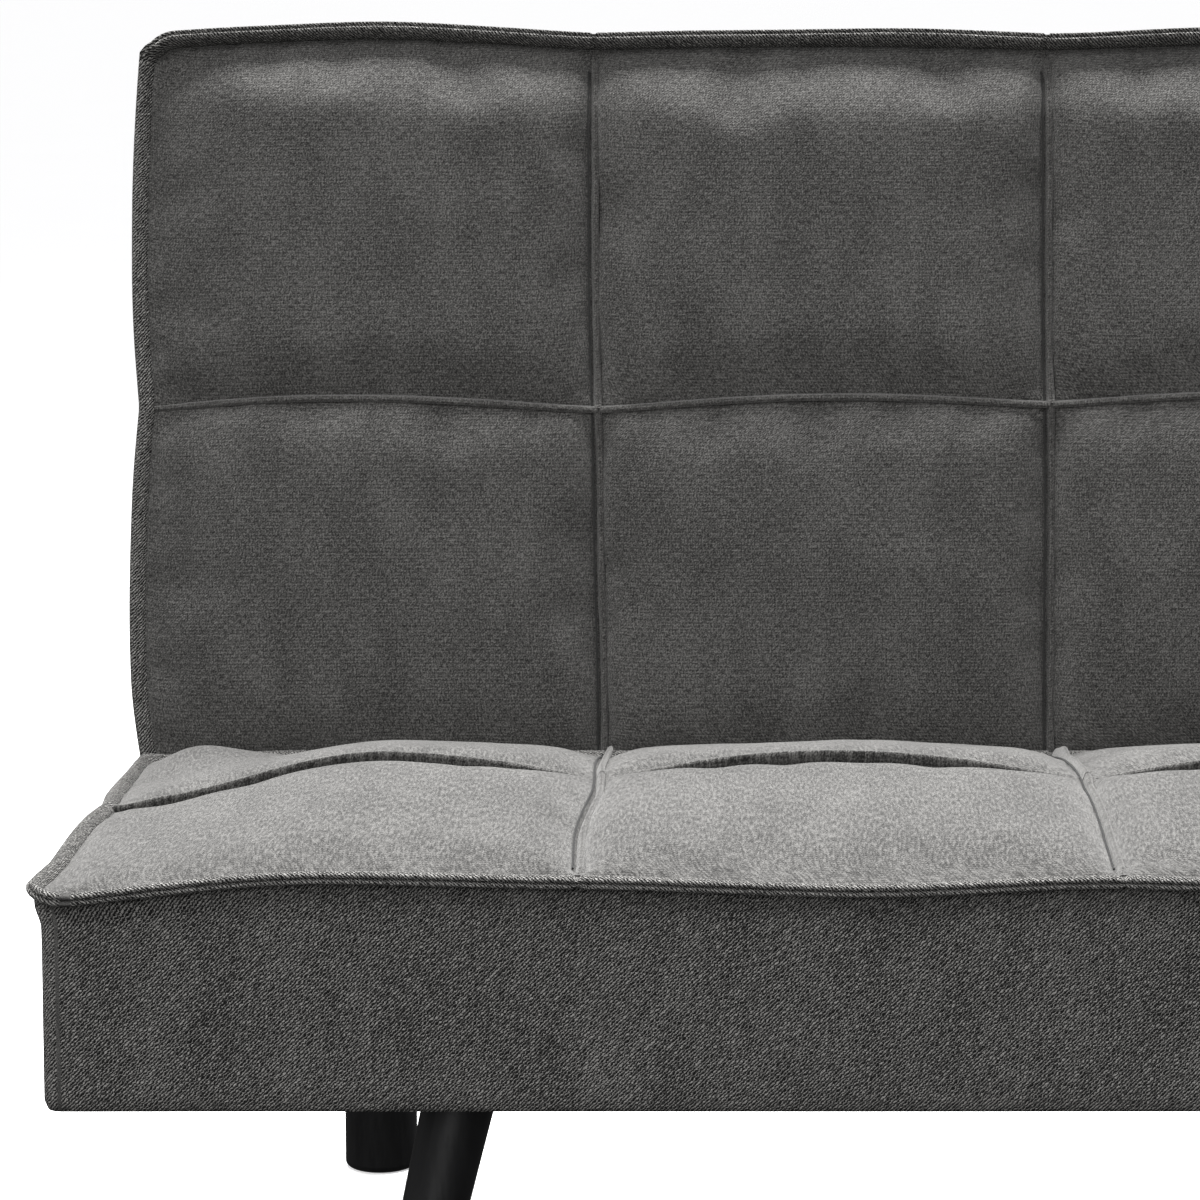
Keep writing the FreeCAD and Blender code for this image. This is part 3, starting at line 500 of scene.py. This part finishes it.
class BackCushion(Cushion):
    """The back, laid flat: its near edge is the one that stands behind the seat."""

    prefix, body, folded, seed, cloth = "back", "backrest", True, 2, BACK_QUILT
    inset, corner = COVER, 0.014
    bottom = BOX_BOTTOM
    level, swell = 0.0150, 0.004
    puff, rear_reach = (0.002, 0.009, 0.007), (0.045, 0.045, 0.045)
    bows = (-0.001, 0.0065)
    crossings = (0.0, -0.0012, 0.0024, 0.0008, -0.0014, 0.0016, 0.0)
    top_bulges = (0.0070, 0.0022, 0.0036, 0.0030, 0.0045, 0.0062)  # of the top edge, one for each column
    plain_row = None
    slack, cap = 0.010, 0.0038
    box_pull = 1.0
    side_lean = 0.45
    top_lean = 1.25  # how far the flange along the top leans forward over the cushion, in radians

    def plane(self, x, y):
        """Height of the flange."""
        return BACK_PLANE

    def edge_bow(self, x, y):
        """How far the slab's outline is pushed out sideways and endways at a point on it."""
        row = self.row_at(y)
        row_share = (y - self.rows[row]) / (self.rows[row + 1] - self.rows[row])
        bottom = smooth((self.rows[1] + 0.06 - y) / 0.10)
        sideways = 0.0005 + 0.0045 * hump(row_share, 0.8) - 0.005 * bottom
        for seam in self.rows[1:-1]:
            sideways -= 0.0009 * bell((y - seam) / 0.035)
        column, share = self.column_at(x)
        return sideways, -0.0100 + self.top_bulges[column] * hump(share, 1.2)

    def seam_drift(self, y):
        """How far the first seam from the left strays to the right."""
        return 0.0055 * (1 - smooth((self.depth(y) - 0.1) / 0.8))

    def support(self, inward, y):
        """How fully the seams are held up, by the distances from the ends and from the side."""
        arch = smooth((self.far - y) / 0.05) ** 0.7 * (0.55 + 0.45 * smooth((y - self.near) / 0.20))
        return arch, smooth(inward / 0.09) ** 0.7

    def corner_lift(self, x, y):
        """The corners lie flat."""
        return 0.0

    def cross_tuck(self, swing):
        """A cross tuck's lean downwards and its height."""
        return 0.30, 1.0

    def tuck_loop(self, y):
        """The lengthwise tucks are equally tall along their length."""
        return 0.0

    def flange_shape(self, sideways, at_far_end):
        """The flange's lean up from level and its reach, by how far it faces sideways and is at the top."""
        lean = self.side_lean * sideways * (1 - at_far_end) + self.top_lean * at_far_end
        return lean, 1 + 0.75 * at_far_end


seat = SeatCushion(SEAT_LOW.y, SEAT_LENGTH, [SEAT_LOW.y + 0.240])
back = BackCushion(BACK_NEAR, BACK_LENGTH, [BACK_NEAR + 0.064, BACK_NEAR + 0.300])


# ---------------------------------------------------------------- the quilted covers
def inflate(piece, pinned, cushion):
    """Lets a little too much cloth billow between its seams under pressure, then keeps the result."""
    last_frame = 20
    start = [v.co.copy() for v in piece.data.vertices]
    group = piece.vertex_groups.new(name="sewn")
    group.add(pinned, 1.0, "REPLACE")
    cloth = piece.modifiers.new("Cloth", "CLOTH")
    settings = cloth.settings
    settings.quality = 6
    settings.mass = 0.25
    settings.tension_stiffness = settings.compression_stiffness = 22
    settings.shear_stiffness = 8
    settings.bending_stiffness = 6.0
    settings.shrink_min = -cushion.slack
    settings.use_pressure = True
    settings.uniform_pressure_force = 4.0
    settings.vertex_group_mass = "sewn"
    settings.effector_weights.gravity = 0.0
    cloth.collision_settings.use_collision = False
    cloth.point_cache.frame_start, cloth.point_cache.frame_end = 1, last_frame
    scene = bpy.context.scene
    for step in range(1, last_frame + 1):
        scene.frame_set(step)
    graph = bpy.context.evaluated_depsgraph_get()
    moved = piece.evaluated_get(graph).to_mesh()
    ends = [v.co.copy() for v in moved.vertices]
    piece.evaluated_get(graph).to_mesh_clear()
    piece.modifiers.remove(cloth)
    piece.vertex_groups.clear()
    for vertex, before, after in zip(piece.data.vertices, start, ends):
        step = after - before
        if step.length > cushion.cap:
            step *= cushion.cap / step.length
        vertex.co = before + step
    scene.frame_set(1)


def cushion_piece(cushion, across, along):
    """The quilted cover over the foam, from flange to flange.

    across is the number of mesh steps in each column, along that in each row.
    """
    xs = eased_steps(cushion.columns, across, 0.86)
    ys = [cushion.near]
    sewn_rows = {0}
    for steps, stops in zip(along, zip(cushion.rows, cushion.rows[1:])):
        ys += eased_steps(stops, steps)[1:]
        sewn_rows.add(len(ys) - 1)
    points = [cushion.point(x, y) for y in ys for x in xs]
    width = len(xs)
    uvs = []
    for here, point in enumerate(points):
        i, j = divmod(here, width)
        u = uvs[here - 1][0] + (point - points[here - 1]).length if j else 0.0
        v = uvs[here - width][1] + (point - points[here - width]).length if i else 0.0
        uvs.append((u, v))
    faces = grid_faces(len(ys), width)
    piece = make(f"{cushion.prefix}_cushion", points, faces, uvs, cushion.cloth, cushion.body)
    pinned = [k for k in range(len(points)) if k % width % across == 0 or k // width in sewn_rows]
    inflate(piece, pinned, cushion)
    if cushion.folded:
        piece.data.transform(FOLD)
    finer = piece.modifiers.new("Subdivision", "SUBSURF")
    finer.levels = finer.render_levels = 1
    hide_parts(f"{cushion.prefix}_foam", f"{cushion.prefix}_top_cover")


# ---------------------------------------------------------------- tucks, flanges and box cloth
def sweep(name, path, section, closed, cushion, material, heights=None):
    """Carries a closed section of (outward, up) pairs along a path of (point, outward, up) stations."""
    points, uvs = [], []
    around, run = [0.0], 0.0
    for (a, b), (c, d) in zip(section, section[1:] + section[:1]):
        around.append(around[-1] + math.hypot(c - a, d - b))
    previous = None
    count = len(section)
    for number, (centre, outward, up) in enumerate(path):
        run += (centre - previous).length if previous else 0.0
        previous = centre
        stretch = heights[number] if heights else 1.0
        for k, (o, h) in enumerate(section):
            points.append(centre + outward * o + up * (h * stretch))
            uvs.append((run, around[k]))
    rows = len(path)
    faces = []
    for i in range(rows if closed else rows - 1):
        n = (i + 1) % rows
        for k in range(count):
            m = (k + 1) % count
            faces.append((i * count + k, i * count + m, n * count + m, n * count + k))
    if not closed:
        faces.append(tuple(range(count)))
        faces.append(tuple(reversed(range((rows - 1) * count, rows * count))))
    return make(name, points, faces, uvs, material, cushion.body, cushion.folded)


def tuck_section(width, tall):
    """A folded pinch of fabric: straight sides and a round top, sunk a little into its valley."""
    half = width / 2
    sides = [(-half * 0.9, -0.005), (-half, -0.003), (-half, tall - half)]
    top = [(-half * math.cos(a), tall - half + half * math.sin(a)) for a in (0.5, 1.05, 1.57, 2.09, 2.64)]
    return sides + top + [(half, tall - half), (half, -0.003), (half * 0.9, -0.005)]


CROSS_TUCK = tuck_section(0.0042, 0.0062)
LENGTHWISE_TUCK = tuck_section(0.0040, 0.0066)
# The painted shadow line beside each lengthwise tuck: a thin near-black tube for the shade in the tuck's
# fold
FOLD_SHADOW_RADIUS = 0.0007
FOLD_SHADOW_SECTION = [
    (FOLD_SHADOW_RADIUS * math.cos(a), FOLD_SHADOW_RADIUS * math.sin(a)) for a in (0, 1.05, 2.09, 3.14, 4.19, 5.24)
]
TUCK_SINK = 0.0008  # how far a tuck's foot lies under the fabric


def tuck_lean(cushion, x, y):
    """How far a tuck leans to one side by chance, in radians."""
    return 0.22 * wobble(x * 5, y * 5, cushion.seed + 3)


def cross_tucks(cushion):
    """The pin tucks from side to side, over the lengthwise ones."""
    for number, y in enumerate(cushion.rows[1:-1], start=1):
        path, heights = [], []
        for x in eased_steps(cushion.columns, 60, 0.3):
            side = smooth((cushion.half - abs(x)) / 0.03)
            swing = max(hump((x / COLUMN) % 1.0), 0.8 * smooth((abs(x) - 0.75) / 0.05))
            forward, height = cushion.cross_tuck(swing)
            tilt = 0.6 * tuck_lean(cushion, x, y) - forward
            up = Vector((0.0, math.sin(tilt), math.cos(tilt)))
            out = Vector((0.0, up.z, -up.y))
            path.append((cushion.point(x, y, -TUCK_SINK - 0.003 * (1 - side)), out, up))
            heights.append(height)
        sweep(f"{cushion.prefix}_cross_tuck_{number}", path, CROSS_TUCK, False,
              cushion, cushion.cloth, heights)


def lengthwise_tucks(cushion):
    """The pin tucks from one cross seam to the next, each with a painted shadow line at its left foot: a
    thin near-black tube standing in for the shade in the tuck's fold.
    """
    steps = 44
    for column, x in enumerate(cushion.columns[1:-1], start=1):
        for row, (near, far) in enumerate(zip(cushion.rows, cushion.rows[1:]), start=1):
            path, heights, fold_shadow_stations = [], [], []
            for k in range(steps + 1):
                y = near + (far - near) * k / steps
                from_edge = min(y - cushion.near, cushion.far - y)
                tilt = 0.4 * tuck_lean(cushion, x, y) + 0.36
                up = Vector((math.sin(tilt), 0.0, math.cos(tilt)))
                out = Vector((up.z, 0.0, -up.x))
                foot = cushion.point(x, y, -TUCK_SINK)
                foot.z -= 0.0030 * (1 - smooth(from_edge / 0.016))
                foot.x += 0.0007 * wobble(y * 20, x, cushion.seed)
                path.append((foot, out, up))
                heights.append(0.35 + 0.65 * smooth(from_edge / 0.014) + cushion.tuck_loop(y))
                # painted shadow: the dark line runs 3 mm left of the tuck, where its fold's shade falls
                if from_edge > 0.012:
                    fold_shadow_stations.append((cushion.point(x - 0.0031, y, 0.0009), out, up))
            sweep(f"{cushion.prefix}_tuck_{column}_{row}", path, LENGTHWISE_TUCK, False,
                  cushion, cushion.cloth, heights)
            sweep(f"{cushion.prefix}_stitch_{column}_{row}", fold_shadow_stations, FOLD_SHADOW_SECTION, False,
                  cushion, FOLD_SHADOW)


def rounded_loop(half_x, near, far, radius, step, marks=(), square=False):
    """Stations round a rectangle with round corners: (x, y, outward x, outward y), dense at the marks.

    With square, the stations lie on the plain rectangle, for Cushion.place to round its corners.
    """
    stations = []
    corners = [
        (Vector((-half_x, near)), Vector((1, 0)), Vector((0, -1)), marks),
        (Vector((half_x, near)), Vector((0, 1)), Vector((1, 0)), ()),
        (Vector((half_x, far)), Vector((-1, 0)), Vector((0, 1)), marks),
        (Vector((-half_x, far)), Vector((0, -1)), Vector((-1, 0)), ()),
    ]
    lengths = [2 * half_x, far - near] * 2
    for (corner, run, out, stops), length in zip(corners, lengths):
        count = max(2, round((length - 2 * radius) / step))
        places = [radius + (length - 2 * radius) * k / count for k in range(count + 1)]
        middle = length / 2
        for stop in stops:
            places += [middle + stop + d for d in (-0.0022, -0.0011, 0.0, 0.0011, 0.0022)]
        for place in sorted(set(places)):
            spot = corner + run * place
            stations.append((spot.x, spot.y, out.x, out.y))
        pivot = corner + run * (length - radius) - out * radius
        for k in range(1, 8):
            angle = math.pi / 2 * k / 8
            way = out * math.cos(angle) + run * math.sin(angle)
            spot = pivot + way * radius
            if square:
                spread = math.sqrt(2) * radius
                outward = min(radius, spread * math.cos(angle))
                onward = min(radius, spread * math.sin(angle))
                spot = pivot + out * outward + run * onward
            stations.append((spot.x, spot.y, way.x, way.y))
    return stations


FLANGE_SECTION = [
    (-0.0030, 0.0004), (-0.0008, 0.0010), (0.0012, 0.0026), (0.0042, 0.0036), (0.0074, 0.0037),
    (0.0096, 0.0031), (0.0106, 0.0020), (0.0102, 0.0008), (0.0078, 0.0001), (0.0078, -0.0001),
    (0.0102, -0.0008), (0.0106, -0.0020), (0.0096, -0.0031), (0.0074, -0.0037), (0.0042, -0.0036),
    (0.0012, -0.0026), (-0.0008, -0.0014), (-0.0030, -0.0010),
]


def flange(cushion):
    """The two layers of cloth sewn together that stand out all round the cushion's edge."""
    seam_width, seam_pinch = 0.0012, 0.62
    marks = cushion.columns[1:-1]
    loop = rounded_loop(cushion.half, cushion.near, cushion.far, cushion.corner, 0.005, marks, True)
    path, pinches = [], []
    for x, y, ox, oy in loop:
        at_far_end = smooth((y - cushion.far + 0.012) / 0.012)
        lean, reach = cushion.flange_shape(abs(ox), at_far_end)
        tilt = 0.10 * wobble(x * 9, y * 9, cushion.seed + 20) + lean
        out = Vector((ox * math.cos(tilt), oy * math.cos(tilt), math.sin(tilt))) * reach
        up = Vector((-ox * math.sin(tilt), -oy * math.sin(tilt), math.cos(tilt)))
        centre = cushion.place(x, y)
        centre.z = cushion.plane(x, y) - 0.0022
        swell = 0.0008 * wobble(x * 11, y * 11, cushion.seed + 31)
        path.append((centre + Vector((ox, oy, 0)) * swell, out, up))
        near_mark = min(abs(x - m) for m in marks) if abs(ox) < 0.1 else 1.0
        near_seam = min(abs(y - m) for m in cushion.rows[1:-1]) if abs(oy) < 0.1 else 1.0
        pinches.append(seam_pinch if min(near_mark, near_seam) < seam_width else 1.0)
    piece = sweep(f"{cushion.prefix}_edge_flange", path, FLANGE_SECTION, True, cushion, TWILL,
                  pinches)
    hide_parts(f"{cushion.prefix}_flange")


# the rings of the box cloth, as shares of its height: close together under the flange and at the hem
BOX_LEVELS = (
    1.0, 0.99, 0.975, 0.955, 0.935, 0.91, 0.885, 0.86, 0.78, 0.68,
    0.57, 0.46, 0.35, 0.25, 0.16, 0.09, 0.05, 0.025, 0.008,
)
HEM_RINGS = ((0.006, 0.0), (0.026, 0.0006))  # how far inward and how high each ring under the box lies


def box_cloth(cushion, slots=()):
    """The cloth round the box's four sides, from under the flange to a hem wrapped under the bottom."""
    spare = cushion.inset - COVER
    loop = rounded_loop(HALF_WIDTH - 0.0032, cushion.near - spare, cushion.far + spare, 0.011, 0.006)
    points, uvs = [], []
    run, previous = 0.0, None
    for x, y, ox, oy in loop:
        here = Vector((x, y, 0))
        run += (here - previous).length if previous else 0.0
        previous = here
        top = cushion.plane(x, y) - 0.003
        bowed = cushion.place(x, y) - here
        for t in BOX_LEVELS:
            z = cushion.bottom + (top - cushion.bottom) * t
            wave = 0.0011 * wobble(x * 7, y * 7 + z * 5, cushion.seed + 40) * math.sin(math.pi * t)
            wave += 0.0006 * wobble(x * 30, y * 30 + z * 12, cushion.seed + 41) * smooth(t * 1.4)
            wave -= 0.0022 * smooth((0.05 - t) / 0.05)
            pull = bowed * smooth((t - 0.87) / 0.10) * cushion.box_pull
            points.append(Vector((x + ox * wave, y + oy * wave, z)) + pull)
            uvs.append((run, z))
        for inward, raised in HEM_RINGS:
            points.append(Vector((x - ox * inward, y - oy * inward, cushion.bottom + raised)))
            uvs.append((run, cushion.bottom - inward))
    count = len(BOX_LEVELS) + len(HEM_RINGS)
    rows = len(loop)
    faces = []
    for i in range(rows):
        n = (i + 1) % rows
        mid = Vector(loop[i][:2]).lerp(Vector(loop[n][:2]), 0.5)
        for k in range(count - 1):
            z = (points[i * count + k].z + points[i * count + k + 1].z) / 2
            if any(inside(mid, z) for inside in slots):
                continue
            faces.append((i * count + k, i * count + k + 1, n * count + k + 1, n * count + k))
    piece = make(f"{cushion.prefix}_box_cloth", points, faces, uvs, TWILL, cushion.body,
                 cushion.folded)
    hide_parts(f"{cushion.prefix}_side_cover")


# ---------------------------------------------------------------- the cloths under the boxes
UNDER_HALF = HALF_WIDTH - 0.018  # half the cloths' width
SLOT_INNER, SLOT_OUTER = 0.78, 0.81  # the hinges' slits lie between these, on either side


def under_cloth(name, cushion, material, looseness, slit, replaced):
    """The sheet stretched under a box, tacked along its edge and slit for the hinges."""
    margin, along, step = 0.009, 60, 0.0174
    xs = eased_steps([-UNDER_HALF, -SLOT_OUTER, -SLOT_INNER, SLOT_INNER, SLOT_OUTER, UNDER_HALF], 6, 0.0)
    xs += [-SLOT_INNER - 0.0005 + k * step for k in range(1, 90)]
    xs = sorted(set(round(x, 5) for x in xs))
    length = cushion.far - cushion.near - 2 * margin
    ys = [cushion.near + margin + length * k / along for k in range(along + 1)]
    points, uvs = [], []
    for y in ys:
        for x in xs:
            edge = min(UNDER_HALF - abs(x), y - ys[0], ys[-1] - y)
            wave = 0.0012 * wobble(x * 6, y * 6, 4.0) + 0.0005 * wobble(x * 34, y * 34, 5.0)
            points.append(Vector((x, y, cushion.bottom - 0.0002 - wave * smooth(edge / 0.08) * looseness)))
            uvs.append((x, y))
    width = len(xs)

    def left_out(i, j):
        return slit((xs[j] + xs[j + 1]) / 2, (ys[i] + ys[i + 1]) / 2)

    faces = [tuple(reversed(f)) for f in grid_faces(len(ys), width, skip=left_out)]
    piece = make(name, points, faces, uvs, material, cushion.body, cushion.folded)
    thick = piece.modifiers.new("Thickness", "SOLIDIFY")
    thick.thickness = 0.0008
    thick.offset = -1.0
    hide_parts(replaced)


def staples(name, cushion, level, spacing):
    """Wire staples that hold the under cloth's edge, each a short flat bar with bent ends."""
    stations = ((-0.005, 0.0009), (-0.0046, 0.0), (0.0046, 0.0), (0.005, 0.0009))  # along the bar, bent up
    profile = ((-0.0006, 0.0003), (-0.0003, -0.0005), (0.0003, -0.0005), (0.0006, 0.0003))
    from_edge, slot_clearance = 0.016, 0.03
    half = HALF_WIDTH - 0.024
    points, faces, uvs = [], [], []

    def bar(x, y, lengthwise):
        """A staple's back, 10 mm long, with a bevelled top."""
        slant = 0.25 * wobble(x * 31, y * 17)
        if lengthwise:
            run = Vector((math.sin(slant), math.cos(slant), 0))
            across = Vector((run.y, -run.x, 0))
        else:
            run = Vector((math.cos(slant), math.sin(slant), 0))
            across = Vector((-run.y, run.x, 0))
        base = len(points)
        for end, bent in stations:
            for o, h in profile:
                points.append(Vector((x, y, level)) + run * end + across * o + Vector((0, 0, h + bent)))
                uvs.append((end, o))
        for i in range(3):
            for k in range(4):
                m = (k + 1) % 4
                this, following = base + i * 4, base + i * 4 + 4
                faces.append((this + k, this + m, following + m, following + k))

    x = -half + spacing / 2
    while x < half:
        if abs(abs(x) - HINGE_X) > slot_clearance:
            for y in (cushion.near + from_edge, cushion.far - from_edge):
                bar(x, y, False)
        x += spacing
    y = cushion.near + spacing
    while y < cushion.far - spacing / 2:
        for x in (-half, half):
            bar(x, y, True)
        y += spacing
    make(name, points, faces, uvs, ZINC, cushion.body, cushion.folded)


def in_hinge_slot(point, z):
    """Where the back's box cloth is cut out for a hinge plate."""
    return abs(abs(point.x) - HINGE_X) < 0.011 and point.y < back.near + 0.02 and z < 0.349


def seat_slit(x, y):
    """Where the seat's under cloth is slit for a hinge plate."""
    front, rear = SEAT_LOW.y + 0.247, SEAT_LOW.y + 0.418
    return 0.788 < abs(x) < HINGE_X and front < y < rear


def back_slit(x, y):
    """Where the back's rear cloth is slit for a hinge plate."""
    return abs(abs(x) - HINGE_X) < 0.012 and y < PIVOT.y + 0.041


cushion_piece(seat, 38, (26, 26))
cushion_piece(back, 38, (12, 28, 28))
for slab in (seat, back):
    cross_tucks(slab)
    lengthwise_tucks(slab)
    flange(slab)
box_cloth(seat)
box_cloth(back, [in_hinge_slot])
under_cloth("seat_under_cloth", seat, DUST, 1.0, seat_slit,
            "seat_dust_cover")
under_cloth("back_rear_cloth", back, TWILL, 0.3, back_slit,
            "back_rear_cover")
staples("seat_staples", seat, seat.bottom - 0.0012, 0.055)

# ---------------------------------------------------------------- carried-over CAD parts
FINISHES = {
    "timber": WOOD, "spring_wire": WIRE, "spring_clips": ZINC, "felt": FELT, "black_steel": STEEL,
    "zinc_steel": ZINC, "tapered_leg": LEG, "round_leg": LEG, "glides": RUBBER,
}
for entry in frame["record"]["subparts"]:
    material = FINISHES.get(entry["material_slot"])
    node = bpy.data.objects.get(entry["node"])
    if material is None or node is None:
        continue
    node.data.materials.clear()
    node.data.materials.append(material)

# ---------------------------------------------------------------- stage, light and camera
reach = 60.0
floor_mesh = bpy.data.meshes.new("floor")
floor_corners = [(-reach, -reach, 0), (reach, -reach, 0), (reach, reach, 0), (-reach, reach, 0)]
floor_mesh.from_pydata(floor_corners, [], [(0, 1, 2, 3)])
floor = bpy.data.objects.new("floor", floor_mesh)
bpy.context.collection.objects.link(floor)
pale = Nodes("pale_floor")
cloud = pale.noise(pale.add("ShaderNodeTexCoord").outputs["Object"], 3.0)
pale.link(pale.ramp(cloud, [(0.3, (0.86, 0.86, 0.86)), (0.7, (0.88, 0.88, 0.88))]), "Base Color")
pale.set(Roughness=0.7, Specular_IOR_Level=0.2, Emission_Color=(1.0, 1.0, 1.0, 1.0), Emission_Strength=0.50)
floor_mesh.materials.append(pale.material)
floor.visible_diffuse = False
floor.visible_glossy = False


def area_light(name, place, target, size, power):
    """A rectangular softbox that faces its target."""
    data = bpy.data.lights.new(name, "AREA")
    data.shape = "RECTANGLE"
    data.size, data.size_y = size
    data.energy = power
    lamp = bpy.data.objects.new(name, data)
    lamp.location = place
    lamp.rotation_euler = (Vector(target) - Vector(place)).to_track_quat("-Z", "Y").to_euler()
    lamp.visible_camera = False
    bpy.context.collection.objects.link(lamp)


area_light("top_softbox", (-0.2, 0.80, 3.1), (-0.2, -0.1, 0.4), (3.2, 1.4), 300.0)
area_light("key_softbox", (-2.3, -2.3, 3.3), (-0.4, 0.0, 0.5), (1.5, 1.5), 56.0)
area_light("front_softbox", (-0.8, -4.2, 1.6), (-0.4, 0.0, 0.4), (3.0, 1.5), 54.0)

# the world is dark below the horizon and grows brighter from there to the top
world = bpy.data.worlds.new("studio")
bpy.context.scene.world = world
world.use_nodes = True
tree = world.node_tree
sky = tree.nodes["Background"]
direction = tree.nodes.new("ShaderNodeTexCoord")
split = tree.nodes.new("ShaderNodeSeparateXYZ")
height = tree.nodes.new("ShaderNodeMapRange")
shade = tree.nodes.new("ShaderNodeValToRGB")
height.inputs["From Min"].default_value = -1.0
height.inputs["From Max"].default_value = 1.0
SKY = [(0.47, (0.06, 0.06, 0.06, 1)), (0.52, (0.38, 0.38, 0.385, 1)), (0.80, (0.70, 0.70, 0.71, 1))]
shade.color_ramp.elements.new(0.52)
for element, (place, colour) in zip(shade.color_ramp.elements, SKY):
    element.position = place
    element.color = colour
tree.links.new(direction.outputs["Generated"], split.inputs[0])
tree.links.new(split.outputs["Z"], height.inputs["Value"])
tree.links.new(height.outputs["Result"], shade.inputs["Fac"])
tree.links.new(shade.outputs["Color"], sky.inputs["Color"])
sky.inputs["Strength"].default_value = 0.85
bpy.context.scene.view_settings.view_transform = "Standard"

camera_data = bpy.data.cameras.new("camera")
camera_data.lens = 131.6
camera_data.sensor_width = 36.0
camera = bpy.data.objects.new("camera", camera_data)
camera.location = (-0.5465, -2.727, 0.903)
camera_data.shift_x = -0.062
camera.rotation_euler = (math.radians(90 - 9.0), 0.0, 0.0)
bpy.context.collection.objects.link(camera)
bpy.context.scene.camera = camera
